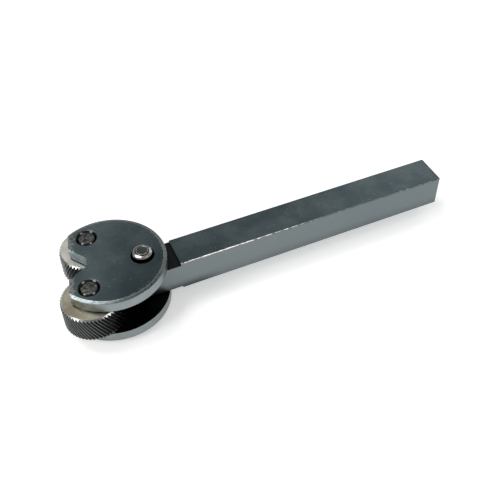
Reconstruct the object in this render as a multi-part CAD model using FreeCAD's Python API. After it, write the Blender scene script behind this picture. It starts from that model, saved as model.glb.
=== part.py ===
"""Lathe knurling tool with a swivelling two-wheel head, in millimetres.

The tool lies on its side. The origin is the middle of the shank's flat underside, +X runs along
the shank to its plain rear end, and +Z is up. The head points to -X, turned about its pivot by
SWIVEL_AT_REST. The pivot and both knurl wheels turn about upright axes.

Each piece is drawn about the pivot, with the tool's mid-plane at height 0 and the head straight,
and then moved to its place.
"""
import FreeCAD, Part
import math
import os

from FreeCAD import Vector

# Shank: square bar with a tongue at the front
SHANK_SIDE = 12.0
SHANK_REAR = 111.5          # pivot axis to rear end
SHANK_EDGE_BREAK = 0.35
TONGUE_THICKNESS = 10.0
SHOULDER = 10.85            # pivot axis to the square shoulder behind the tongue

# Head: two round cheek plates, each turned with a bevelled rim, then milled at the front
SWIVEL_AT_REST = -13.9      # degrees about the pivot, from straight
CHEEK_GAP = 11.1
CHEEK_THICKNESS = 4.0
CHEEK_RADIUS = 18.75
CHEEK_CENTRE = 10.85        # pivot axis to the centre of the cheek's round rim
RIM_BEVEL_WIDTH = 1.0
RIM_BEVEL_DROP = 0.35
FRONT_FLAT = 23.8           # pivot axis to the flats at the front
NOTCH_MOUTH = 13.8
NOTCH_ROOT = 3.4
NOTCH_DEPTH = 5.7
NOTCH_ROOT_RADIUS = 1.1

# Knurl wheels and the pins that carry them
WHEEL_FORWARD = 17.7        # pivot axis to the line through both knurl pins
WHEEL_SPACING = 22.2        # between the two knurl pins
WHEEL_DIAMETER = 20.0
WHEEL_WIDTH = 10.0
WHEEL_CHAMFER = 0.75
TOOTH_COUNT = 52
HELIX_ANGLE = 30.0
TOOTH_FLANK_ANGLE = 37.0    # each flank from the radius, square to the tooth
KNURL_PIN_DIAMETER = 6.0
KNURL_PIN_RECESS = 0.05     # pin end below the cheek's face
KNURL_PIN_CHAMFER = 0.28
KNURL_PIN_CHAMFER_DEPTH = 0.5

# Pivot pin: its polished ends stand proud of the cheeks
PIVOT_DIAMETER = 6.6
PIVOT_PROUD = 2.1
PIVOT_FLAT_DIAMETER = 3.5
PIVOT_LIP_DIAMETER = 4.5
PIVOT_LIP_DROP = 0.16
PIVOT_CROWN_DIAMETER = 6.2
PIVOT_CROWN_DROP = 0.45
PIVOT_SHOULDER_DROP = 1.0

# Thrust washers beside the tongue and each wheel
WASHER_DIAMETER = 11.0
WASHER_THICKNESS = 0.5

COUNTERSINK_MARGIN = 0.65   # countersink radius beyond the pin
RUNNING_CLEARANCE = 0.04    # radial, in every bore that turns on a pin
CUT_MARGIN = 1.0            # how far cutting shapes run past the faces that they cut

Z_AXIS = Vector(0, 0, 1)
INNER_FACE = CHEEK_GAP / 2
OUTER_FACE = INNER_FACE + CHEEK_THICKNESS
PIVOT = Vector(-(SHOULDER + SHANK_REAR) / 2, 0, SHANK_SIDE / 2)
KNURLS = {"left_hand": -WHEEL_SPACING / 2, "right_hand": WHEEL_SPACING / 2}
LEVELS = {"upper": 1, "lower": -1}


def cylinder(radius, bottom, top, x=0.0, y=0.0):
    """Upright cylinder between two heights."""
    return Part.makeCylinder(radius, top - bottom, Vector(x, y, bottom), Z_AXIS)


def turned(profile, x=0.0, y=0.0):
    """Solid of revolution about an upright axis, from (radius, height) points."""
    points = [Vector(radius, 0, height) for radius, height in profile]
    face = Part.Face(Part.makePolygon(points + points[:1]))
    solid = face.revolve(Vector(0, 0, 0), Z_AXIS, 360)
    solid.translate(Vector(x, y, 0))
    return solid


def prism(outline, bottom, top):
    """Upright prism over a closed outline of (x, y) points."""
    points = [Vector(x, y, bottom) for x, y in outline]
    face = Part.Face(Part.makePolygon(points + points[:1]))
    return face.extrude(Vector(0, 0, top - bottom))


def mirrored_down(shape):
    """The same shape on the other side of the mid-plane."""
    return shape.mirror(Vector(0, 0, 0), Z_AXIS)


def in_frame(shape, swivel=0.0):
    """Turn a piece about the pivot and move the pivot to its place in the tool's frame."""
    placed = shape.copy()
    placed.rotate(Vector(0, 0, 0), Z_AXIS, swivel)
    placed.translate(PIVOT)
    return placed


def long_edges(bar):
    """Edges that run along the bar, and those round its rear end face."""
    return [edge for edge in bar.Edges
            if edge.BoundBox.XLength > SHANK_REAR / 2
            or edge.BoundBox.XMin > SHANK_REAR - SHANK_EDGE_BREAK]


def make_shank():
    """Square bar with a thinner, full-round tongue in front of its shoulder."""
    half = SHANK_SIDE / 2
    tongue_half = TONGUE_THICKNESS / 2
    bar = Part.makeBox(SHANK_REAR - SHOULDER, SHANK_SIDE, SHANK_SIDE, Vector(SHOULDER, -half, -half))
    bar = bar.makeChamfer(SHANK_EDGE_BREAK, long_edges(bar))
    tongue = Part.makeBox(SHOULDER, SHANK_SIDE, TONGUE_THICKNESS, Vector(0, -half, -tongue_half))
    tongue_end = cylinder(half, -tongue_half, tongue_half)
    bore = cylinder(PIVOT_DIAMETER / 2 + RUNNING_CLEARANCE, -half, half)
    return bar.fuse([tongue, tongue_end]).cut(bore).removeSplitter()


def notch_cutter():
    """V-notch with a flat root, open to the front, with its two root corners rounded."""
    root = FRONT_FLAT - NOTCH_DEPTH
    slope = (NOTCH_MOUTH - NOTCH_ROOT) / 2 / NOTCH_DEPTH
    front = FRONT_FLAT + CUT_MARGIN
    mouth = NOTCH_MOUTH / 2 + slope * CUT_MARGIN
    outline = [(-root, NOTCH_ROOT / 2), (-front, mouth), (-front, -mouth), (-root, -NOTCH_ROOT / 2)]
    cutter = prism(outline, INNER_FACE - CUT_MARGIN, OUTER_FACE + CUT_MARGIN)
    corners = [edge for edge in cutter.Edges
               if edge.BoundBox.ZLength > CHEEK_THICKNESS and edge.BoundBox.XMin > -root - 1e-3]
    return cutter.makeFillet(NOTCH_ROOT_RADIUS, corners)


def pin_hole(diameter, x, y):
    """Through hole with a 45 degree countersink at the cheek's outer face."""
    radius = diameter / 2
    sunk = radius + COUNTERSINK_MARGIN
    profile = [(0, INNER_FACE - CUT_MARGIN), (radius, INNER_FACE - CUT_MARGIN),
               (radius, OUTER_FACE - COUNTERSINK_MARGIN), (sunk, OUTER_FACE),
               (sunk, OUTER_FACE + CUT_MARGIN), (0, OUTER_FACE + CUT_MARGIN)]
    return turned(profile, x, y)


def make_upper_cheek():
    """Turned disc with a wide shallow bevel, then the front flats, notch and pin holes."""
    disc = turned([(0, INNER_FACE), (CHEEK_RADIUS, INNER_FACE),
                   (CHEEK_RADIUS, OUTER_FACE - RIM_BEVEL_DROP),
                   (CHEEK_RADIUS - RIM_BEVEL_WIDTH, OUTER_FACE), (0, OUTER_FACE)], -CHEEK_CENTRE)
    side = 2 * CHEEK_RADIUS
    front = Part.makeBox(side, 2 * side, side, Vector(-FRONT_FLAT - side, -side, 0))
    holes = [pin_hole(KNURL_PIN_DIAMETER, -WHEEL_FORWARD, y) for y in KNURLS.values()]
    holes.append(pin_hole(PIVOT_DIAMETER, 0, 0))
    return disc.cut([front, notch_cutter()] + holes)


def make_pivot_pin():
    """Straight pin, the same at both ends: a shoulder in two slopes, a small lip and a flat end."""
    end = OUTER_FACE + PIVOT_PROUD
    outline = [(PIVOT_DIAMETER / 2, end - PIVOT_SHOULDER_DROP),
               (PIVOT_CROWN_DIAMETER / 2, end - PIVOT_CROWN_DROP),
               (PIVOT_LIP_DIAMETER / 2, end - PIVOT_LIP_DROP),
               (PIVOT_FLAT_DIAMETER / 2, end)]
    lower = [(radius, -height) for radius, height in reversed(outline)]
    return turned([(0, -end)] + lower + outline + [(0, end)])


def make_knurl_pin(y):
    """Straight pin pressed into both cheeks, its chamfered ends just below their faces."""
    radius = KNURL_PIN_DIAMETER / 2
    end = OUTER_FACE - KNURL_PIN_RECESS
    face_radius = radius - KNURL_PIN_CHAMFER
    shoulder = end - KNURL_PIN_CHAMFER_DEPTH
    profile = [(0, -end), (face_radius, -end), (radius, -shoulder),
               (radius, shoulder), (face_radius, end), (0, end)]
    return turned(profile, -WHEEL_FORWARD, y)


def toothed_prism(hand):
    """Star of sharp V-teeth swept along a helix, a little longer than the wheel is wide.

    hand is +1 for right-hand teeth and -1 for left-hand ones.
    """
    radius = WHEEL_DIAMETER / 2
    helix = math.radians(HELIX_ANGLE)
    half_pitch = math.pi / TOOTH_COUNT
    depth = radius * half_pitch * math.cos(helix) / math.tan(math.radians(TOOTH_FLANK_ANGLE))
    points = []
    for i in range(TOOTH_COUNT):
        for length, angle in ((radius, 2 * i * half_pitch), (radius - depth, (2 * i + 1) * half_pitch)):
            points.append(Vector(length * math.cos(angle), length * math.sin(angle), 0))
    star = Part.makePolygon(points + points[:1])
    height = WHEEL_WIDTH + 2 * CUT_MARGIN
    lead = math.pi * WHEEL_DIAMETER / math.tan(helix)
    path = Part.Wire(Part.makeHelix(lead, height, radius, 0, hand < 0))
    prism_solid = path.makePipeShell([star], True, True)
    prism_solid.translate(Vector(0, 0, -height / 2))
    return prism_solid


def make_knurl(hand, y):
    """Wheel with helical V-teeth that run out on a 45 degree chamfer at each end."""
    half = WHEEL_WIDTH / 2
    bore = KNURL_PIN_DIAMETER / 2 + RUNNING_CLEARANCE
    land = WHEEL_DIAMETER / 2 - WHEEL_CHAMFER
    rim = WHEEL_DIAMETER / 2 + CUT_MARGIN
    shoulder = half - (rim - land)
    blank = turned([(bore, -half), (land, -half), (rim, -shoulder),
                    (rim, shoulder), (land, half), (bore, half)])
    wheel = toothed_prism(hand).common(blank)
    wheel.translate(Vector(-WHEEL_FORWARD, y, 0))
    return wheel


def make_washer(pin_diameter, x, y):
    """Thrust washer against the upper cheek's inner face."""
    bore = pin_diameter / 2 + RUNNING_CLEARANCE
    bottom = INNER_FACE - WASHER_THICKNESS
    return turned([(bore, bottom), (WASHER_DIAMETER / 2, bottom),
                   (WASHER_DIAMETER / 2, INNER_FACE), (bore, INNER_FACE)], x, y)


def at_levels(shape):
    """A piece drawn above the mid-plane, and its mirror image below, by level."""
    return {level: shape if sign > 0 else mirrored_down(shape) for level, sign in LEVELS.items()}


def make_head():
    """Every piece that swivels with the head, straight along -X, by node name."""
    head = {"pivot_pin": make_pivot_pin()}
    for level, cheek in at_levels(make_upper_cheek()).items():
        head[f"{level}_cheek"] = cheek
    for level, washer in at_levels(make_washer(PIVOT_DIAMETER, 0, 0)).items():
        head[f"{level}_pivot_washer"] = washer
    for side, y in KNURLS.items():
        head[f"{side}_knurl"] = make_knurl(1 if side == "right_hand" else -1, y)
        head[f"{side}_knurl_pin"] = make_knurl_pin(y)
        for level, washer in at_levels(make_washer(KNURL_PIN_DIAMETER, -WHEEL_FORWARD, y)).items():
            head[f"{side}_{level}_washer"] = washer
    return head


def main():
    """Write one STEP file per piece."""
    parts = {"shank": in_frame(make_shank())}
    for node, shape in make_head().items():
        parts[node] = in_frame(shape, SWIVEL_AT_REST)
    os.makedirs("parts", exist_ok=True)
    for node, shape in parts.items():
        solid = shape.Solids[0]
        solid.exportStep(f"parts/{node}.step")
        print(node, "solids", len(shape.Solids), "valid", solid.isValid(), "mm3", round(solid.Volume))


if __name__ == "__main__":
    main()
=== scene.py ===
"""Looks for a lathe knurling tool that lies on its side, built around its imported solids.

The frame is the solids' own, in metres: +X runs along the shank to its plain rear end, +Z is up,
and the head points to -X, swivelled about an upright pivot. Sizes in this file are millimetres
and are turned into metres with MM where they meet Blender.
"""
import logging
import math
from dataclasses import dataclass
from enum import Enum

import bmesh
import bpy
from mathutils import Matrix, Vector


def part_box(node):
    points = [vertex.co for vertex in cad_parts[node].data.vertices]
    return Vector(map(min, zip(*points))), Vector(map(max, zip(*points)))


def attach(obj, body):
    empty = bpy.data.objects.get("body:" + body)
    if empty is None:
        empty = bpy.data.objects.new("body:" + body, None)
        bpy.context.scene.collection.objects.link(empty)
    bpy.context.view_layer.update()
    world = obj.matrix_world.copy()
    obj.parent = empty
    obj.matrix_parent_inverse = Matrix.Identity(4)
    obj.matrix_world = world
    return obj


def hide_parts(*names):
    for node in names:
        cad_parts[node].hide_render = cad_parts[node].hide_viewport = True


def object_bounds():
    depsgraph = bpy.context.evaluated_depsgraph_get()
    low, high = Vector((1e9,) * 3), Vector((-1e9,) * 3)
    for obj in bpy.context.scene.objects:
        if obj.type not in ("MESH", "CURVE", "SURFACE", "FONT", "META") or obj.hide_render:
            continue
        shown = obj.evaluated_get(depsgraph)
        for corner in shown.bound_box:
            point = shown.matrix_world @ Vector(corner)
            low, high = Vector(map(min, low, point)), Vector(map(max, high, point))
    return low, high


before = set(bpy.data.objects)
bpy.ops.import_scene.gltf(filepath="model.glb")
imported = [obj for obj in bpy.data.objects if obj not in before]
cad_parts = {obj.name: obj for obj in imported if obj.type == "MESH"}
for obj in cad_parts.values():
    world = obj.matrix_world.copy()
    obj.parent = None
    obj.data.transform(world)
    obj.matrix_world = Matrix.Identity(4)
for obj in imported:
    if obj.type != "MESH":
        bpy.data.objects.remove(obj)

CAD_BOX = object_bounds()
MM = 0.001
FULL_TURN = 2 * math.pi

Colour = tuple[float, float, float]
Point = tuple[float, float, float]
Span = tuple[float, float]
Socket = bpy.types.NodeSocket
Amount = float | Socket

log = logging.getLogger("knurling_tool")


class Body(Enum):
    """The bodies that the soft-edged copies ride on."""

    SHANK = "shank"
    HEAD = "head"


class Slot(Enum):
    """The record's finishes for the pieces made here."""

    SHANK = "blued_shank"
    CHEEK = "blued_cheek"
    PIVOT = "polished_pin"
    PIN = "pin_end"


# --- node graphs -----------------------------------------------------------------------------


class Graph:
    """Adds nodes to one shader tree and joins them up."""

    def __init__(self, tree: bpy.types.NodeTree) -> None:
        """Work on a tree.

        Args:
            tree: The material's or group's node tree.
        """
        self.tree = tree

    def feed(self, socket: Socket, value: object) -> None:
        """Set a socket's value, or link another socket to it.

        Args:
            socket: The input socket.
            value: A number, a colour or vector of three numbers, or an output socket.
        """
        if isinstance(value, bpy.types.NodeSocket):
            self.tree.links.new(value, socket)
        elif socket.type == "RGBA":
            socket.default_value = (*value, 1.0)
        else:
            socket.default_value = value

    def add(self, kind: str, inputs: dict[str | int, object], **settings: object) -> bpy.types.Node:
        """Add a node.

        Args:
            kind: The node's type name.
            inputs: Values or sockets for its inputs, by name or number.
            **settings: The node's own properties.

        Returns:
            The new node.
        """
        node = self.tree.nodes.new(kind)
        for name, value in settings.items():
            setattr(node, name, value)
        for key, value in inputs.items():
            self.feed(node.inputs[key], value)
        return node

    def maths(self, operation: str, *values: Amount) -> Socket:
        """One Math node.

        Args:
            operation: The node's operation.
            *values: Its inputs in order.

        Returns:
            Its output.
        """
        return self.add("ShaderNodeMath", dict(enumerate(values)), operation=operation).outputs[0]

    def plus(self, first: Amount, second: Amount) -> Socket:
        """The two values' sum."""
        return self.maths("ADD", first, second)

    def minus(self, first: Amount, second: Amount) -> Socket:
        """The first value less the second."""
        return self.maths("SUBTRACT", first, second)

    def times(self, first: Amount, second: Amount) -> Socket:
        """The two values' product."""
        return self.maths("MULTIPLY", first, second)

    def most(self, first: Amount, second: Amount) -> Socket:
        """The larger of two values."""
        return self.maths("MAXIMUM", first, second)

    def off(self, value: Amount, middle: float) -> Socket:
        """How far a value lies from a middle one, to either side."""
        return self.maths("ABSOLUTE", self.minus(value, middle))

    def smooth(self, value: Amount, start: float, end: float) -> Socket:
        """A soft step from 0 at start to 1 at end."""
        inputs = {"Value": value, "From Min": start, "From Max": end}
        return self.add("ShaderNodeMapRange", inputs, interpolation_type="SMOOTHSTEP").outputs[0]

    def scaled(self, value: Amount, low: Amount, high: Amount) -> Socket:
        """A 0 to 1 value spread over low to high."""
        return self.add("ShaderNodeMapRange", {"Value": value, "To Min": low, "To Max": high}).outputs[0]

    def mixed(self, mask: Amount, first: object, second: object) -> Socket:
        """A colour that goes from first to second as the mask goes from 0 to 1."""
        inputs = {0: mask, 6: first, 7: second}
        return self.add("ShaderNodeMix", inputs, data_type="RGBA").outputs[2]

    def noise(self, vector: Socket, scale: Amount, detail: float = 3.0, rough: float = 0.55) -> Socket:
        """Cloudy noise from 0 to 1.

        Args:
            vector: Where to read it, in millimetres.
            scale: Cells per millimetre.
            detail: How many finer layers are added.
            rough: How strong the finer layers are.

        Returns:
            The noise value.
        """
        inputs = {"Vector": vector, "Scale": scale, "Detail": detail, "Roughness": rough}
        return self.add("ShaderNodeTexNoise", inputs).outputs[0]

    def stretched(self, vector: Socket, scale: Point, turn: float = 0.0) -> Socket:
        """The same place in stretched axes, turned about the upright one first."""
        turned = self.add("ShaderNodeMapping", {"Vector": vector, "Rotation": (0, 0, -turn)})
        inputs = {"Vector": turned.outputs[0], "Scale": scale}
        return self.add("ShaderNodeMapping", inputs).outputs[0]

    def split(self, vector: Socket) -> list[Socket]:
        """A vector's three parts."""
        return list(self.add("ShaderNodeSeparateXYZ", {0: vector}).outputs)

    def radius(self, vector: Socket, centre: Vector) -> Socket:
        """Distance from an upright axis.

        Args:
            vector: Where to measure, in millimetres.
            centre: A point on the axis, in millimetres.

        Returns:
            The distance in millimetres.
        """
        moved = self.add("ShaderNodeVectorMath", {0: vector, 1: centre}, operation="SUBTRACT")
        flat = self.add("ShaderNodeVectorMath", {0: moved.outputs[0], 1: (1, 1, 0)}, operation="MULTIPLY")
        return self.add("ShaderNodeVectorMath", {0: flat.outputs[0]}, operation="LENGTH").outputs["Value"]

    def place(self) -> Socket:
        """Object coordinates in millimetres."""
        place = self.add("ShaderNodeTexCoord", {}).outputs["Object"]
        inputs = {"Vector": place, "Scale": (1 / MM,) * 3}
        return self.add("ShaderNodeMapping", inputs).outputs[0]

    def bump(self, height: Socket, depth: float) -> Socket:
        """A bumped normal from a height in millimetres.

        Args:
            height: The height, from 0 to 1.
            depth: How deep a height of 1 is, in millimetres.

        Returns:
            The normal.
        """
        return self.add("ShaderNodeBump", {"Height": height, "Distance": depth * MM}).outputs[0]


# --- shared effects --------------------------------------------------------------------------


class Effects:
    """Shader groups that several finishes share, each built once."""

    CLOUD_SHARE = 0.62
    STREAK_SHARE = 0.16
    GRAIN_SHARE = 0.22
    SPOT_SPAN: Span = (0.67, 0.77)
    LINE_SPAN: Span = (0.70, 0.80)
    LINE_SHARE = 0.5
    GRAIN_HEIGHT = 0.4
    NOISE_MIDDLE = 0.5
    BAND_SOFTNESS = 0.5
    RING_SHARE = 0.5

    def __init__(self) -> None:
        """Build every group."""
        self.oxide = self._oxide_film()
        self.wear = self._edge_wear()
        self.rings = self._turning_rings()

    @staticmethod
    def _empty(name: str, inputs: dict[str, str], outputs: dict[str, str]
               ) -> tuple[bpy.types.NodeTree, Graph, bpy.types.Node, bpy.types.Node]:
        """A group with its sockets.

        Args:
            name: The group's name.
            inputs: Socket types by name.
            outputs: Socket types by name.

        Returns:
            The tree, its graph, and its input and output nodes.
        """
        tree = bpy.data.node_groups.new(name, "ShaderNodeTree")
        for label, kind in inputs.items():
            tree.interface.new_socket(label, in_out="INPUT", socket_type=kind)
        for label, kind in outputs.items():
            tree.interface.new_socket(label, in_out="OUTPUT", socket_type=kind)
        graph = Graph(tree)
        return tree, graph, graph.add("NodeGroupInput", {}), graph.add("NodeGroupOutput", {})

    def _oxide_film(self) -> bpy.types.NodeTree:
        """Blued film: slow clouds, fine grinding streaks along X and small scuffs.

        Returns:
            The group.
        """
        tree, graph, given, result = self._empty(
            "oxide_film", {"Place": "NodeSocketVector", "Streak Length": "NodeSocketFloat"},
            {"Tone": "NodeSocketFloat", "Scuffs": "NodeSocketFloat", "Height": "NodeSocketFloat"})
        place = given.outputs["Place"]
        clouds = graph.noise(place, scale=0.09, detail=3.0)
        inverse = graph.maths("DIVIDE", 1.0, given.outputs["Streak Length"])
        axes = graph.add("ShaderNodeCombineXYZ", {0: inverse, 1: 1.0, 2: 1.0}).outputs[0]
        lined = graph.add("ShaderNodeVectorMath", {0: place, 1: axes}, operation="MULTIPLY").outputs[0]
        streaks = graph.noise(lined, scale=3.2, detail=2.0, rough=0.7)
        grain = graph.noise(place, scale=2.3, detail=4.0, rough=0.7)
        fine = graph.plus(graph.times(streaks, self.STREAK_SHARE), graph.times(grain, self.GRAIN_SHARE))
        spots = graph.smooth(graph.noise(place, scale=1.15, detail=2.0, rough=0.5), *self.SPOT_SPAN)
        lines = graph.times(graph.smooth(streaks, *self.LINE_SPAN), self.LINE_SHARE)
        graph.feed(result.inputs["Tone"], graph.plus(graph.times(clouds, self.CLOUD_SHARE), fine))
        graph.feed(result.inputs["Scuffs"], graph.most(spots, lines))
        graph.feed(result.inputs["Height"], graph.plus(streaks, graph.times(grain, self.GRAIN_HEIGHT)))
        return tree

    def _edge_wear(self) -> bpy.types.NodeTree:
        """Film rubbed off along an edge, in an uneven band.

        Returns:
            The group.
        """
        tree, graph, given, result = self._empty(
            "edge_wear", {"Place": "NodeSocketVector", "Distance": "NodeSocketFloat",
                          "Width": "NodeSocketFloat", "Breakup": "NodeSocketFloat",
                          "Grain": "NodeSocketFloat"},
            {"Mask": "NodeSocketFloat"})
        patches = graph.noise(given.outputs["Place"], scale=given.outputs["Grain"], detail=4.0)
        ragged = graph.times(graph.minus(patches, self.NOISE_MIDDLE), given.outputs["Breakup"])
        near = graph.maths("DIVIDE", given.outputs["Distance"], given.outputs["Width"])
        band = graph.minus(1.0, graph.plus(near, ragged))
        graph.feed(result.inputs["Mask"], graph.smooth(band, 0.0, self.BAND_SOFTNESS))
        return tree

    def _turning_rings(self) -> bpy.types.NodeTree:
        """Fine rings that a lathe tool or grinding wheel leaves round an axis.

        Returns:
            The group.
        """
        tree, graph, given, result = self._empty(
            "turning_rings", {"Place": "NodeSocketVector", "Radius": "NodeSocketFloat",
                              "Pitch": "NodeSocketFloat"},
            {"Tone": "NodeSocketFloat", "Height": "NodeSocketFloat"})
        turns = graph.maths("DIVIDE", given.outputs["Radius"], given.outputs["Pitch"])
        line = graph.add("ShaderNodeCombineXYZ", {0: turns}).outputs[0]
        rings = graph.noise(line, scale=1.0, detail=2.0, rough=0.6)
        patches = graph.noise(given.outputs["Place"], scale=0.6, detail=3.0)
        tone = graph.plus(graph.times(rings, self.RING_SHARE), graph.times(patches, 1 - self.RING_SHARE))
        graph.feed(result.inputs["Tone"], tone)
        graph.feed(result.inputs["Height"], rings)
        return tree


EFFECTS = Effects()


# --- finishes --------------------------------------------------------------------------------


def new_material(name: str) -> tuple[bpy.types.Material, Graph, bpy.types.Node]:
    """A node material with an empty Principled shader.

    Args:
        name: The material's name.

    Returns:
        The material, its graph and its shader node.
    """
    material = bpy.data.materials.new(name)
    material.use_nodes = True
    material.node_tree.nodes.clear()
    graph = Graph(material.node_tree)
    shader = graph.add("ShaderNodeBsdfPrincipled", {"Metallic": 1.0})
    graph.add("ShaderNodeOutputMaterial", {"Surface": shader.outputs[0]})
    return material, graph, shader


def placed_group(graph: Graph, group: bpy.types.NodeTree, inputs: dict[str, object]) -> bpy.types.Node:
    """A shared effect placed in a material with its own values.

    Args:
        graph: The material's graph.
        group: The effect's node group.
        inputs: Values or sockets for its inputs, by name.

    Returns:
        The group's node.
    """
    node = graph.add("ShaderNodeGroup", {}, node_tree=group)
    for name, value in inputs.items():
        graph.feed(node.inputs[name], value)
    return node


def feed_surface(graph: Graph, shader: bpy.types.Node, colour: Socket, roughness: Socket,
                 normal: Socket) -> None:
    """Feed a shader's three varying inputs.

    Args:
        graph: The material's graph.
        shader: Its shader node.
        colour: The base colour.
        roughness: The roughness.
        normal: The bumped normal.
    """
    for name, value in (("Base Color", colour), ("Roughness", roughness), ("Normal", normal)):
        graph.feed(shader.inputs[name], value)


@dataclass(frozen=True)
class EdgeWear:
    """One uneven band where the film is rubbed off along an edge."""

    width: float
    breakup: float
    grain: float
    share: float

    def mask(self, graph: Graph, place: Socket, distance: Socket) -> Socket:
        """How far the film is rubbed off.

        Args:
            graph: The material's graph.
            place: Object coordinates in millimetres.
            distance: Distance from the edge in millimetres.

        Returns:
            The mask, from 0 to the band's share.
        """
        band = placed_group(graph, EFFECTS.wear, {
            "Place": place, "Distance": distance, "Width": self.width, "Breakup": self.breakup,
            "Grain": self.grain})
        return graph.times(band.outputs["Mask"], self.share)


@dataclass(frozen=True)
class BluedSteel:
    """Blue-black oxide on ground steel, rubbed bright along its edges."""

    name: str
    deep: Colour = (0.076, 0.106, 0.117)
    pale: Colour = (0.132, 0.166, 0.176)
    # The shank's sides are painted paler than its top: a painted reflection of the bright floor.
    painted_side_sheen: Colour = (0.19, 0.21, 0.21)
    bare: Colour = (0.70, 0.69, 0.66)
    roughness: float = 0.33
    streak_length: float = 14.0
    streak_turn: float = 0.0
    tone_span: Span = (0.36, 0.66)
    relief: float = 0.005

    def film(self, graph: Graph, place: Socket) -> tuple[Socket, bpy.types.Node]:
        """The oxide's own colour.

        Args:
            graph: The material's graph.
            place: Object coordinates in millimetres.

        Returns:
            The colour and the film group's node.
        """
        along = graph.stretched(place, (1, 1, 1), self.streak_turn)
        film = placed_group(graph, EFFECTS.oxide, {"Place": along, "Streak Length": self.streak_length})
        tone = graph.smooth(film.outputs["Tone"], *self.tone_span)
        return graph.mixed(tone, self.deep, self.pale), film


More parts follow.
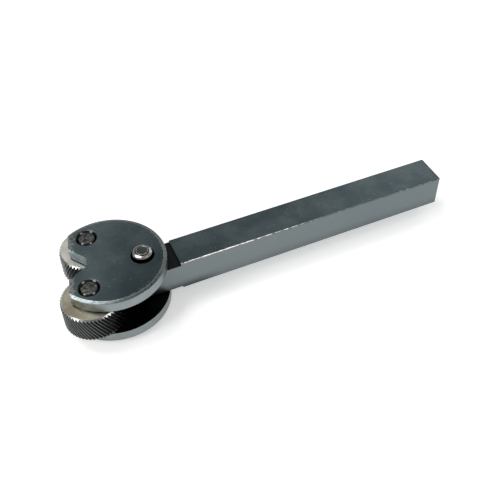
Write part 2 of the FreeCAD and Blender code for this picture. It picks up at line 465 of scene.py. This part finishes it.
@dataclass(frozen=True)
class ShankFinish(BluedSteel):
    """The bar's finish: wear by distance from its edges, and the milled tongue between the plates painted
    near-black as painted shade.
    """

    half_side: float = 6.0
    rear: float = 50.325
    shoulder: float = -50.325
    edge_break: float = 0.35
    # Near-black for painted shade: the tongue, the low flanks, the far edges and the corners.
    black: Colour = (0.022, 0.024, 0.025)
    toward_head_from: float = 10.0
    line_width: Span = (0.20, 0.40)
    line_breakup: float = 1.5
    line_grain: float = 0.7
    # The bare line is weaker on the far side and at the rear: painted highlight on top of the wear.
    far_line: float = 0.25
    rear_line: float = 0.45
    middle: float = 1.0
    scuff_share: float = 0.22
    side_skin: Span = (0.12, 0.02)
    # Span and share over which the sides' painted reflection fades towards the rear.
    side_sheen_fade_span: Span = (-10.0, 25.0)
    side_sheen_fade_share: float = 0.45
    # Painted shade low on the sides, strongest near the head.
    low_flank_shade_height: float = 4.5
    low_flank_shade_reach: Span = (16.0, 4.0)
    low_flank_shade_share: Span = (0.22, 0.85)
    # Painted shade on the top and bottom towards the far edge and the rear end.
    far_shade_band: Span = (0.9, 0.2)
    rear_shade_band: Span = (1.2, 0.2)
    far_shade_share: float = 0.5
    # Painted shade on the broken corners.
    corner_shade_skin: Span = (0.03, 0.01)
    corner_shade_share: Span = (0.70, 0.50)
    shoulder_skin: float = 0.02
    flank_skin: Span = (0.01, 0.04)
    satin: Span = (-0.05, 0.09)

    def to_edge(self, graph: Graph, place: Socket) -> Socket:
        """Distance along the surface from the nearest long edge or rear edge.

        Args:
            graph: The material's graph.
            place: Object coordinates in millimetres.

        Returns:
            The distance in millimetres.
        """
        x, y, z = graph.split(place)
        side = graph.minus(self.half_side, graph.maths("ABSOLUTE", y))
        face = graph.minus(self.half_side, graph.off(z, self.half_side))
        first = graph.maths("MINIMUM", side, face)
        second = graph.most(side, face)
        return graph.most(first, graph.maths("MINIMUM", second, graph.minus(self.rear, x)))

    def rubbed(self, graph: Graph, place: Socket, toward_head: Socket) -> Socket:
        """Film rubbed off the edges: wear, made strongest on the near side and towards the head as painted
        highlight.

        Args:
            graph: The material's graph.
            place: Object coordinates in millimetres.
            toward_head: 0 at the rear to 1 at the shoulder.

        Returns:
            The mask.
        """
        wear = placed_group(graph, EFFECTS.wear, {
            "Place": place, "Distance": self.to_edge(graph, place), "Breakup": self.line_breakup,
            "Grain": self.line_grain, "Width": graph.scaled(toward_head, *self.line_width)})
        # Painted highlight: the bare line is kept strongest on the near side and towards the head.
        near_side = graph.smooth(graph.split(place)[1], self.middle, -self.middle)
        line = graph.times(wear.outputs["Mask"], graph.scaled(near_side, self.far_line, 1.0))
        return graph.times(line, graph.scaled(toward_head, self.rear_line, 1.0))

    def faces(self, graph: Graph, place: Socket, film: tuple[Socket, Socket], side: Socket) -> Socket:
        """The film on the flat faces: sides painted paler as a painted reflection, fading towards the rear,
        and painted shade low on the flanks near the head.

        Args:
            graph: The material's graph.
            place: Object coordinates in millimetres.
            film: The film's colour and its tone.
            side: 1 on the two sides, 0 elsewhere.

        Returns:
            The colour.
        """
        x, _, z = graph.split(place)
        colour, tone = film
        # Painted reflection: the sides take a paler film than the top.
        ground = graph.mixed(side, colour, graph.mixed(tone, self.pale, self.painted_side_sheen))
        # Towards the rear the sides' painted reflection partly fades back to the plain pale film.
        dull = graph.times(graph.smooth(x, *self.side_sheen_fade_span), self.side_sheen_fade_share)
        ground = graph.mixed(dull, ground, graph.mixed(side, colour, self.pale))
        # Painted shade: the sides darken towards their bottom, most near the head.
        reach, full = (self.shoulder + length for length in self.low_flank_shade_reach)
        low_flank_shade = graph.times(graph.smooth(z, self.low_flank_shade_height, 0.0),
                           graph.scaled(graph.smooth(x, reach, full), *self.low_flank_shade_share))
        return graph.mixed(graph.times(low_flank_shade, side), ground, self.black)

    def edged(self, graph: Graph, place: Socket, ground: Socket, side: Socket, toward_head: Socket) -> Socket:
        """The faces' colour with painted shade: darker towards the far edge and the rear end, and on the
        broken corners.

        Args:
            graph: The material's graph.
            place: Object coordinates in millimetres.
            ground: The faces' colour.
            side: 1 on the two sides, 0 elsewhere.
            toward_head: 0 at the rear to 1 at the shoulder.

        Returns:
            The colour.
        """
        x, y, z = graph.split(place)
        # Painted shade: the top and bottom darken towards the far edge and the rear end.
        far_edge = graph.smooth(y, *(self.half_side - reach for reach in self.far_shade_band))
        far = graph.most(far_edge, graph.smooth(x, *(self.rear - reach for reach in self.rear_shade_band)))
        far = graph.times(graph.times(far, self.far_shade_share), graph.smooth(side, 1.0, 0.0))
        ground = graph.mixed(far, ground, self.black)
        # Painted shade on the broken corners: full on the far side, 0.7 to 0.5 on the near side from rear to
        # head.
        around = graph.plus(graph.maths("ABSOLUTE", y), graph.off(z, self.half_side))
        break_line = 2 * self.half_side - self.edge_break
        corner = graph.smooth(around, *(break_line - skin for skin in self.corner_shade_skin))
        corner_shade_weight = graph.most(graph.scaled(toward_head, *self.corner_shade_share), graph.smooth(y, 0.0, self.middle))
        return graph.mixed(graph.times(corner, corner_shade_weight), ground, self.black)

    def material(self) -> bpy.types.Material:
        """The node material.

        Returns:
            The material.
        """
        material, graph, shader = new_material(self.name)
        place = graph.place()
        film_colour, film = self.film(graph, place)
        tone = film.outputs["Tone"]
        x, y, _ = graph.split(place)
        across = graph.maths("ABSOLUTE", y)
        toward_head = graph.smooth(x, self.toward_head_from, self.shoulder)
        side = graph.smooth(across, *(self.half_side - skin for skin in self.side_skin))
        ground = self.faces(graph, place, (film_colour, tone), side)
        ground = self.edged(graph, place, ground, side, toward_head)
        scuffs = graph.times(film.outputs["Scuffs"], self.scuff_share)
        worn = graph.most(self.rubbed(graph, place, toward_head), scuffs)
        # Painted shade: the tongue, except its sides, goes near-black between the plates.
        tongue_shade = graph.times(
            graph.smooth(x, self.shoulder + self.shoulder_skin, self.shoulder - self.shoulder_skin),
            graph.smooth(across, *(self.half_side - skin for skin in self.flank_skin)))
        colour = graph.mixed(tongue_shade, graph.mixed(worn, ground, self.bare), self.black)
        satin = graph.scaled(tone, *(self.roughness + step for step in self.satin))
        feed_surface(graph, shader, colour, satin, graph.bump(film.outputs["Height"], self.relief))
        return material


@dataclass(frozen=True)
class CheekFinish(BluedSteel):
    """The plates' finish: a turned rim and rubbed corners, with countersinks and inner faces painted
    near-black as painted shade.
    """

    deep: Colour = (0.098, 0.137, 0.150)
    pale: Colour = (0.170, 0.212, 0.224)
    centre: Point = (0.0, 0.0, 6.0)
    rim: float = 18.75
    bevel: float = 1.0
    front: float = 23.8
    outer_face: float = 9.55
    inner_face: float = 5.55
    pins: tuple[Point, ...] = ()
    pin_sink: float = 3.65
    pivot: Point = (-61.175, 0.0, 6.0)
    pivot_sink: float = 3.95
    sink_skin: Span = (0.02, -0.06)
    outer_band: Span = (1.2, 0.8)
    line: EdgeWear = EdgeWear(width=0.13, breakup=1.6, grain=0.5, share=0.8)
    specks: EdgeWear = EdgeWear(width=1.3, breakup=5.5, grain=1.3, share=0.30)
    chips: EdgeWear = EdgeWear(width=1.6, breakup=5.5, grain=1.1, share=0.75)
    worn_share: float = 0.5
    scuff_share: float = 0.25
    wall_skin: Span = (0.10, 0.03)
    wall_pitch: float = 0.14
    wall_dark: Colour = (0.15, 0.17, 0.17)
    wall_pale: Colour = (0.30, 0.34, 0.345)
    wall_stain: Colour = (0.13, 0.115, 0.085)
    stain_reach: Span = (13.0, 2.0)
    stain_span: Span = (0.42, 0.62)
    stain_share: float = 0.7
    # Painted shade in the countersinks, kept glossy so lamp glints stay.
    countersink_shade: Colour = (0.05, 0.05, 0.05)
    sunk_polish: float = 0.18
    # Painted shade on the plates' inner faces, between the plates.
    inner_face_shade: Colour = (0.012, 0.014, 0.015)
    inner_skin: Span = (0.05, 0.01)
    shaded: Colour = (0.030, 0.048, 0.056)
    shade_span: Span = (-84.0, -50.0)
    shade_share: float = 0.72
    satin: Span = (-0.05, 0.08)

    def sinks(self, graph: Graph, place: Socket) -> Socket:
        """1 inside any countersink, 0 outside.

        Args:
            graph: The material's graph.
            place: Object coordinates in millimetres.

        Returns:
            The mask.
        """
        mask: Amount = 0.0
        for axis, reach in [*((pin, self.pin_sink) for pin in self.pins), (self.pivot, self.pivot_sink)]:
            radius = graph.radius(place, Vector(axis))
            inside = graph.smooth(radius, *(reach + skin for skin in self.sink_skin))
            mask = graph.most(mask, inside)
        return mask

    def to_front(self, graph: Graph, place: Socket) -> Socket:
        """Distance back from the plates' front flats.

        Args:
            graph: The material's graph.
            place: Object coordinates in millimetres.

        Returns:
            The distance in millimetres.
        """
        turned = graph.stretched(place, (1, 1, 1), self.streak_turn)
        reach = math.cos(self.streak_turn) * self.pivot[0] + math.sin(self.streak_turn) * self.pivot[1]
        return graph.minus(reach + self.front, graph.split(turned)[0])

    def level(self, graph: Graph, place: Socket) -> Socket:
        """Distance up or down from the head's middle plane, in millimetres."""
        return graph.off(graph.split(place)[2], self.pivot[2])

    def rubbed(self, graph: Graph, place: Socket) -> Socket:
        """Film rubbed off the bevel's inner edge, the rim and the front corners of the outer face.

        Args:
            graph: The material's graph.
            place: Object coordinates in millimetres.

        Returns:
            The mask.
        """
        from_centre = graph.radius(place, Vector(self.centre))
        inner_edge = graph.off(from_centre, self.rim - self.bevel)
        rubbed = graph.most(self.specks.mask(graph, place, graph.minus(self.rim, from_centre)),
                            self.chips.mask(graph, place, self.to_front(graph, place)))
        rubbed = graph.most(rubbed, self.line.mask(graph, place, inner_edge))
        start, end = (self.outer_face - depth for depth in self.outer_band)
        return graph.times(rubbed, graph.smooth(self.level(graph, place), start, end))

    def wall(self, graph: Graph, place: Socket) -> Socket:
        """The turned rim's colour, stained towards the front.

        Args:
            graph: The material's graph.
            place: Object coordinates in millimetres.

        Returns:
            The colour.
        """
        rings = placed_group(graph, EFFECTS.rings, {
            "Place": place, "Radius": graph.split(place)[2], "Pitch": self.wall_pitch})
        blotches = graph.smooth(graph.noise(place, scale=0.55, detail=4.0, rough=0.7), *self.stain_span)
        stained = graph.times(graph.smooth(self.to_front(graph, place), *self.stain_reach), blotches)
        turned = graph.mixed(rings.outputs["Tone"], self.wall_dark, self.wall_pale)
        return graph.mixed(graph.times(stained, self.stain_share), turned, self.wall_stain)

    def face(self, graph: Graph, place: Socket, film_colour: Socket, scuffs: Socket) -> Socket:
        """The flat faces' colour: darker to one side, scuffed, and rubbed at the edges.

        Args:
            graph: The material's graph.
            place: Object coordinates in millimetres.
            film_colour: The film's own colour.
            scuffs: The film's scuffs.

        Returns:
            The colour.
        """
        x, y, _ = graph.split(place)
        shade = graph.times(graph.smooth(graph.minus(x, y), *self.shade_span), self.shade_share)
        worn = graph.times(self.rubbed(graph, place), self.worn_share)
        worn = graph.most(worn, graph.times(scuffs, self.scuff_share))
        return graph.mixed(worn, graph.mixed(shade, film_colour, self.shaded), self.bare)

    def material(self) -> bpy.types.Material:
        """The node material.

        Returns:
            The material.
        """
        material, graph, shader = new_material(self.name)
        place = graph.place()
        film_colour, film = self.film(graph, place)
        in_wall = graph.smooth(graph.radius(place, Vector(self.centre)),
                               *(self.rim - skin for skin in self.wall_skin))
        face = self.face(graph, place, film_colour, film.outputs["Scuffs"])
        colour = graph.mixed(in_wall, face, self.wall(graph, place))
        # Painted shade: the plates' inner faces, between the plates, go near-black.
        inside = graph.smooth(self.level(graph, place), *(self.inner_face + skin for skin in self.inner_skin))
        colour = graph.mixed(inside, colour, self.inner_face_shade)
        # Painted shade: the countersinks round the pins go near-black.
        sunk = self.sinks(graph, place)
        colour = graph.mixed(sunk, colour, self.countersink_shade)
        satin = graph.scaled(film.outputs["Tone"], *(self.roughness + step for step in self.satin))
        satin = graph.minus(satin, graph.times(sunk, self.sunk_polish))
        feed_surface(graph, shader, colour, satin, graph.bump(film.outputs["Height"], self.relief))
        return material


@dataclass(frozen=True)
class KnurlFinish:
    """Ground faces; teeth painted dark as painted shade, with crests and tooth ends painted brighter: worn
    metal and painted highlight.
    """

    name: str
    axis: Point
    face: Colour
    stain: Colour
    outer: float = 10.0
    land: float = 9.25
    land_skin: float = 0.05
    # Dark teeth are painted shade; the brighter crest colour is worn metal and painted highlight.
    teeth: Colour = (0.034, 0.037, 0.037)
    crest: Colour = (0.30, 0.31, 0.30)
    crest_band: Span = (0.22, 0.02)
    crest_clean: Span = (0.25, 1.0)
    end_span: Span = (4.2, 4.45)
    blotch_span: Span = (0.80, 1.25)
    pitch: float = 0.35
    satin: Span = (0.42, 0.30)
    relief: float = 0.004

    def material(self) -> bpy.types.Material:
        """The node material.

        Returns:
            The material.
        """
        material, graph, shader = new_material(self.name)
        place = graph.place()
        radius = graph.radius(place, Vector(self.axis))
        rings = placed_group(graph, EFFECTS.rings, {"Place": place, "Radius": radius, "Pitch": self.pitch})
        end = graph.smooth(graph.off(graph.split(place)[2], self.axis[2]), *self.end_span)
        toothed = graph.smooth(radius, self.land - self.land_skin, self.land + self.land_skin)
        dirt = graph.noise(place, scale=0.8, detail=4.0)
        top = graph.smooth(radius, *(self.outer - depth for depth in self.crest_band))
        top = graph.times(top, graph.scaled(dirt, *self.crest_clean))
        # Painted shade and highlight: dark teeth, with bright crests and tooth ends.
        teeth = graph.mixed(end, graph.mixed(top, self.teeth, self.crest), self.crest)
        clouds = graph.plus(graph.noise(place, scale=0.16, detail=2.0), rings.outputs["Tone"])
        face = graph.mixed(graph.smooth(clouds, *self.blotch_span), self.stain, self.face)
        feed_surface(graph, shader, graph.mixed(toothed, face, teeth), graph.scaled(toothed, *self.satin),
                     graph.bump(rings.outputs["Height"], self.relief))
        return material


@dataclass(frozen=True)
class PinFinish:
    """A pressed pin: a dull stained end inside a chamfer painted black as painted shade."""

    name: str
    axis: Point
    face_radius: float = 2.45
    face_skin: float = 0.12
    dull: Colour = (0.024, 0.025, 0.024)
    pale: Colour = (0.21, 0.21, 0.195)
    black: Colour = (0.05, 0.05, 0.05)
    stain_span: Span = (0.36, 0.70)
    pitch: float = 0.3
    satin: Span = (0.5, 0.15)
    relief: float = 0.01

    def material(self) -> bpy.types.Material:
        """The node material.

        Returns:
            The material.
        """
        material, graph, shader = new_material(self.name)
        place = graph.place()
        radius = graph.radius(place, Vector(self.axis))
        rings = placed_group(graph, EFFECTS.rings, {"Place": place, "Radius": radius, "Pitch": self.pitch})
        stain = graph.smooth(graph.noise(place, scale=0.95, detail=4.0, rough=0.75), *self.stain_span)
        end = graph.mixed(stain, self.dull, self.pale)
        # Painted shade: from just inside the end's edge outwards the chamfer goes near-black.
        outside = graph.smooth(radius, self.face_radius, self.face_radius + self.face_skin)
        feed_surface(graph, shader, graph.mixed(outside, end, self.black), graph.scaled(outside, *self.satin),
                     graph.bump(rings.outputs["Height"], self.relief))
        return material


@dataclass(frozen=True)
class PivotFinish:
    """Polished dome and lip around a dull blued flat, with its groove and foot painted black as painted
    shade.
    """

    name: str
    axis: Point
    flat_radius: float = 1.74
    flat_skin: Span = (-0.02, 0.1)
    groove: Span = (2.0, 2.36)
    groove_start: Span = (-0.01, 0.02)
    groove_end: Span = (0.02, -0.06)
    radius: float = 3.24
    rim_skin: float = 0.05
    dark: Colour = (0.070, 0.085, 0.09)
    bright: Colour = (0.50, 0.48, 0.45)
    shadow: float = 0.8
    black: Colour = (0.012, 0.012, 0.012)
    pitch: float = 0.25
    satin: Span = (0.42, 0.16)
    relief: float = 0.004

    def material(self) -> bpy.types.Material:
        """The node material.

        Returns:
            The material.
        """
        material, graph, shader = new_material(self.name)
        place = graph.place()
        radius = graph.radius(place, Vector(self.axis))
        rings = placed_group(graph, EFFECTS.rings, {"Place": place, "Radius": radius, "Pitch": self.pitch})
        outside = graph.smooth(radius, *(self.flat_radius + skin for skin in self.flat_skin))
        dim = tuple(self.shadow * part for part in self.bright)
        shine = graph.mixed(rings.outputs["Tone"], dim, self.bright)
        # Painted shade: the groove under the lip and the pin's foot go black.
        groove_and_foot_shade = graph.times(graph.smooth(radius, *(self.groove[0] + skin for skin in self.groove_start)),
                            graph.smooth(radius, *(self.groove[1] + skin for skin in self.groove_end)))
        groove_and_foot_shade = graph.most(groove_and_foot_shade, graph.smooth(radius, self.radius, self.radius + self.rim_skin))
        colour = graph.mixed(groove_and_foot_shade, graph.mixed(outside, self.dark, shine), self.black)
        feed_surface(graph, shader, colour, graph.scaled(outside, *self.satin),
                     graph.bump(rings.outputs["Height"], self.relief))
        return material


@dataclass(frozen=True)
class WasherFinish:
    """Plain rolled washer steel with turning rings."""

    name: str
    axis: Point
    colour: Colour = (0.34, 0.34, 0.33)
    shadow: float = 0.6
    pitch: float = 0.3
    satin: Span = (0.3, 0.45)
    relief: float = 0.004

    def material(self) -> bpy.types.Material:
        """The node material.

        Returns:
            The material.
        """
        material, graph, shader = new_material(self.name)
        place = graph.place()
        radius = graph.radius(place, Vector(self.axis))
        rings = placed_group(graph, EFFECTS.rings, {"Place": place, "Radius": radius, "Pitch": self.pitch})
        dark = tuple(self.shadow * part for part in self.colour)
        tone = rings.outputs["Tone"]
        feed_surface(graph, shader, graph.mixed(tone, dark, self.colour), graph.scaled(tone, *self.satin),
                     graph.bump(rings.outputs["Height"], self.relief))
        return material


# --- the tool --------------------------------------------------------------------------------


def dress(node: str, material: bpy.types.Material) -> None:
    """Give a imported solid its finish."""
    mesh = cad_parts[node].data
    mesh.materials.clear()
    mesh.materials.append(material)


def new_object(name: str, data: bpy.types.ID) -> bpy.types.Object:
    """A new object in the scene, at the origin.

    Args:
        name: The object's name.
        data: Its mesh, lamp or camera.

    Returns:
        The object.
    """
    made = bpy.data.objects.new(name, data)
    bpy.context.scene.collection.objects.link(made)
    return made


def mesh_data(name: str, mesh: bmesh.types.BMesh) -> bpy.types.Mesh:
    """Turn a bmesh into mesh data, and free it.

    Args:
        name: The mesh data's name.
        mesh: The bmesh.

    Returns:
        The mesh data.
    """
    data = bpy.data.meshes.new(name)
    mesh.to_mesh(data)
    mesh.free()
    return data


def centre_of(node: str) -> Vector:
    """The middle of a node's box, in millimetres."""
    low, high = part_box(node)
    return (low + high) / 2 / MM


@dataclass(frozen=True)
class SoftEdges:
    """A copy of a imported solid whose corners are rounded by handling, in its place."""

    width: float
    segments: int = 2
    sharpest: float = math.radians(17.5)
    flat: float = math.radians(0.5)
    weld: float = 0.001

    def build(self, node: str, body: Body, slot: Slot, material: bpy.types.Material) -> None:
        """Copy the solid's mesh, join its triangles up and round its corners.

        Args:
            node: The solid's node.
            body: The body that it rides on.
            slot: The record's finish for it; not used.
            material: Its finish.
        """
        mesh = bmesh.new()
        mesh.from_mesh(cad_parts[node].data)
        bmesh.ops.remove_doubles(mesh, verts=mesh.verts, dist=self.weld * MM)
        bmesh.ops.dissolve_limit(mesh, angle_limit=self.flat, verts=mesh.verts, edges=mesh.edges,
                                 use_dissolve_boundaries=False)
        bmesh.ops.recalc_face_normals(mesh, faces=mesh.faces)
        name = f"soft_edged_{node}"
        data = mesh_data(name, mesh)
        for attribute in ("custom_normal", "sharp_edge", "sharp_face"):
            if attribute in data.attributes:
                data.attributes.remove(data.attributes[attribute])
        data.shade_smooth()
        data.materials.append(material)
        piece = new_object(name, data)
        rounding = piece.modifiers.new("rounding", "BEVEL")
        rounding.width, rounding.segments, rounding.profile = self.width * MM, self.segments, 0.5
        rounding.limit_method, rounding.angle_limit = "ANGLE", self.sharpest
        shading = piece.modifiers.new("shading", "WEIGHTED_NORMAL")
        shading.mode, shading.weight = "FACE_AREA", 100
        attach(piece, body.value)
        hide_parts(node)
        log.info("%s: %s", body.value, node)


@dataclass
class Shank:
    """The square bar that the tool post holds, with its milled tongue."""

    edges: SoftEdges = SoftEdges(width=0.08)

    def build(self) -> None:
        """Finish the bar."""
        self.edges.build("shank", Body.SHANK, Slot.SHANK, ShankFinish("blued_bar").material())


@dataclass
class TurnedPin:
    """A pin turned in one piece, the same at both ends, in place of its plain solid."""

    node: str
    slot: Slot
    section: tuple[Span, ...]
    round_width: float = 0.07
    round_segments: int = 3
    sides: int = 96
    sharpest: float = math.radians(12)
    weld: float = 1e-4
    level: float = 1e-5

    def outline(self, end: float) -> list[Point]:
        """The whole half section, from the upper end's axis to the lower end's.

        Args:
            end: The end's height from the pin's middle, in millimetres.

        Returns:
            Points in the XZ plane, in millimetres.
        """
        upper = [(radius, 0.0, end - drop) for radius, drop in self.section]
        return upper + [(x, y, -z) for x, y, z in reversed(upper)]

    def ring_edges(self, mesh: bmesh.types.BMesh) -> list[bmesh.types.BMEdge]:
        """The edges round the pin where its slope changes."""
        return [edge for edge in mesh.edges
                if len(edge.link_faces) == 2 and edge.calc_face_angle() > self.sharpest
                and abs(edge.verts[0].co.z - edge.verts[1].co.z) < self.level]

    def build(self, material: bpy.types.Material) -> None:
        """Turn the pin, round its edges and hang it on the head.

        Args:
            material: Its finish.
        """
        low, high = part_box(self.node)
        mesh = bmesh.new()
        verts = [mesh.verts.new(point) for point in self.outline((high.z - low.z) / 2 / MM)]
        edges = [mesh.edges.new(pair) for pair in zip(verts, verts[1:])]
        bmesh.ops.spin(mesh, geom=verts + edges, cent=(0, 0, 0), axis=(0, 0, 1), angle=FULL_TURN,
                       steps=self.sides, use_merge=True)
        bmesh.ops.remove_doubles(mesh, verts=mesh.verts, dist=self.weld)
        bmesh.ops.recalc_face_normals(mesh, faces=mesh.faces)
        bmesh.ops.bevel(mesh, geom=self.ring_edges(mesh), offset=self.round_width, offset_type="OFFSET",
                        segments=self.round_segments, profile=0.5, affect="EDGES", clamp_overlap=True,
                        material=-1)
        bmesh.ops.scale(mesh, vec=(MM, MM, MM), verts=mesh.verts)
        bmesh.ops.translate(mesh, vec=(low + high) / 2, verts=mesh.verts)
        name = f"turned_{self.node}"
        data = mesh_data(name, mesh)
        data.shade_smooth()
        data.materials.append(material)
        pin = new_object(name, data)
        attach(pin, "head")
        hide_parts(self.node)
        log.info("head: %s", self.node)


@dataclass
class Head:
    """The two cheek plates, the pivot pin, the knurl pins and the washers."""

    cheek_centre: float = 10.85
    edges: SoftEdges = SoftEdges(width=0.12)
    pin_round: float = 0.12
    pivot_section: tuple[Span, ...] = (
        (0.0, 0.06), (1.76, 0.06), (1.82, 0.0), (1.98, 0.02), (2.04, 0.34), (2.34, 0.36), (2.98, 0.56),
        (3.3, 1.05))
    pin_section: tuple[Span, ...] = ((0.0, 0.0), (2.52, 0.0), (3.0, 0.5))

    def _cheeks(self, pivot: Vector, pins: list[Vector]) -> None:
        """Make the two plates, which share a finish turned to lie along the head.

        Args:
            pivot: The pivot pin's middle, in millimetres.
            pins: The two knurl pins' middles, in millimetres.
        """
        forward = ((pins[0] + pins[1]) / 2 - pivot).normalized()
        finish = CheekFinish(
            "blued_cheek", centre=tuple(pivot + forward * self.cheek_centre),
            pins=tuple(tuple(pin) for pin in pins), pivot=tuple(pivot),
            streak_turn=math.atan2(forward.y, forward.x))
        cheek = finish.material()
        for level in ("upper", "lower"):
            self.edges.build(f"{level}_cheek", Body.HEAD, Slot.CHEEK, cheek)

    def build(self) -> None:
        """Make the plates and pins, and finish the washers."""
        pivot = centre_of("pivot_pin")
        pins = [centre_of(f"{side}_hand_knurl_pin") for side in ("left", "right")]
        self._cheeks(pivot, pins)
        polished = PivotFinish("polished_pivot", tuple(pivot)).material()
        TurnedPin("pivot_pin", Slot.PIVOT, self.pivot_section).build(polished)
        for side, pin in zip(("left", "right"), pins):
            pin_end = PinFinish(f"{side}_pin_end", tuple(pin)).material()
            TurnedPin(f"{side}_hand_knurl_pin", Slot.PIN, self.pin_section, self.pin_round).build(pin_end)
            for level in ("upper", "lower"):
                washer = WasherFinish(f"{side}_{level}_washer", tuple(pin)).material()
                dress(f"{side}_hand_{level}_washer", washer)
        for level in ("upper", "lower"):
            dress(f"{level}_pivot_washer", WasherFinish(f"{level}_pivot_washer", tuple(pivot)).material())
        log.info("head: six thrust washers")


@dataclass
class KnurlWheel:
    """One knurl wheel."""

    hand: str
    face: Colour
    stain: Colour

    def build(self) -> None:
        """Finish the wheel."""
        node = f"{self.hand}_hand_knurl"
        finish = KnurlFinish(f"{self.hand}_wheel_steel", tuple(centre_of(node)), self.face, self.stain)
        dress(node, finish.material())
        log.info("%s hand knurl wheel", self.hand)


# --- studio ----------------------------------------------------------------------------------


@dataclass(frozen=True)
class Softbox:
    """A square area lamp that faces the tool."""

    name: str
    azimuth: float
    elevation: float
    distance: float
    size: float
    radiance: float

    def build(self, target: Vector) -> None:
        """Hang the lamp.

        Args:
            target: The point that it faces, in metres.
        """
        data = bpy.data.lights.new(self.name, "AREA")
        data.size = self.size
        data.energy = self.radiance * math.pi * self.size ** 2
        lamp = new_object(self.name, data)
        turn, lift = math.radians(self.azimuth), math.radians(self.elevation)
        way = Vector((math.sin(turn) * math.cos(lift), -math.cos(turn) * math.cos(lift), math.sin(lift)))
        lamp.location = target + way * self.distance
        lamp.rotation_euler = (-way).to_track_quat("-Z", "Y").to_euler()


@dataclass
class Studio:
    """A pale floor, soft lamps, a plain world and the camera."""

    camera_place: Point = (-0.098807, -0.172475, 0.199918)
    camera_turn: Point = (43.406, 0.524, -24.292)
    lens: float = 56.04
    sensor_width: float = 36.0
    clip_start: float = 0.01
    target: Point = (-0.03, 0.0, 0.006)
    floor_size: float = 6.0
    floor_colour: Colour = (0.97, 0.97, 0.97)
    floor_roughness: float = 0.9
    floor_lift: float = 0.33
    world_level: float = 0.35
    white: Colour = (1.0, 1.0, 1.0)
    lamps: tuple[Softbox, ...] = (
        Softbox("left_softbox", -78.0, 31.0, 0.70, 0.22, 9.0),
        Softbox("right_softbox", 33.0, 38.0, 0.70, 0.22, 7.0),
        Softbox("top_softbox", -125.0, 66.0, 0.90, 0.40, 6.0),
        Softbox("back_fill", 125.0, 33.0, 0.90, 0.60, 0.65),
    )

    def build(self) -> None:
        """Set up everything round the tool."""
        self._floor()
        self._world()
        for lamp in self.lamps:
            lamp.build(Vector(self.target))
        self._camera()
        bpy.context.scene.view_settings.view_transform = "Standard"
        log.info("studio: floor, world, %d lamps and camera", len(self.lamps))

    def _floor(self) -> None:
        """A pale floor under the tool's lowest point."""
        mesh = bmesh.new()
        bmesh.ops.create_grid(mesh, x_segments=1, y_segments=1, size=self.floor_size / 2)
        bmesh.ops.translate(mesh, verts=mesh.verts, vec=(0, 0, CAD_BOX[0].z))
        floor = new_object("floor", mesh_data("floor", mesh))
        floor.data.materials.append(self._floor_material())

    def _floor_material(self) -> bpy.types.Material:
        """A matt pale surface that only the camera and mirrors see as white.

        Returns:
            The material.
        """
        material, graph, shader = new_material("pale_floor")
        values = {"Metallic": 0.0, "Base Color": self.floor_colour, "Roughness": self.floor_roughness,
                  "Specular IOR Level": 0.0}
        for name, value in values.items():
            graph.feed(shader.inputs[name], value)
        path = graph.add("ShaderNodeLightPath", {})
        seen = graph.most(path.outputs["Is Camera Ray"], path.outputs["Is Glossy Ray"])
        seen = graph.most(seen, path.outputs["Is Transmission Ray"])
        strength = graph.times(seen, self.floor_lift)
        lift = graph.add("ShaderNodeEmission", {"Color": self.white, "Strength": strength})
        total = graph.add("ShaderNodeAddShader", {0: shader.outputs[0], 1: lift.outputs[0]})
        output = next(node for node in graph.tree.nodes if node.type == "OUTPUT_MATERIAL")
        graph.feed(output.inputs["Surface"], total.outputs[0])
        return material

    def _world(self) -> None:
        """An even pale grey all round."""
        world = bpy.data.worlds.new("studio_world")
        world.use_nodes = True
        world.node_tree.nodes.clear()
        graph = Graph(world.node_tree)
        back = graph.add("ShaderNodeBackground", {"Color": self.white, "Strength": self.world_level})
        graph.add("ShaderNodeOutputWorld", {"Surface": back.outputs[0]})
        bpy.context.scene.world = world

    def _camera(self) -> None:
        """The camera, above the head's side of the tool."""
        data = bpy.data.cameras.new("camera")
        data.lens, data.sensor_width, data.clip_start = self.lens, self.sensor_width, self.clip_start
        camera = new_object("camera", data)
        camera.location = self.camera_place
        camera.rotation_euler = [math.radians(angle) for angle in self.camera_turn]
        bpy.context.scene.camera = camera


def main() -> None:
    """Build the tool and its studio."""
    logging.basicConfig(level=logging.INFO, format="%(name)s: %(message)s")
    Shank().build()
    Head().build()
    # The left wheel has a darker, warmer face and stain than the right: painted shade under the cheek, with a
    # tan tint.
    KnurlWheel("left", face=(0.54, 0.51, 0.42), stain=(0.32, 0.29, 0.20)).build()
    KnurlWheel("right", face=(0.84, 0.82, 0.76), stain=(0.62, 0.60, 0.53)).build()
    Studio().build()


if __name__ == "__main__":
    main()
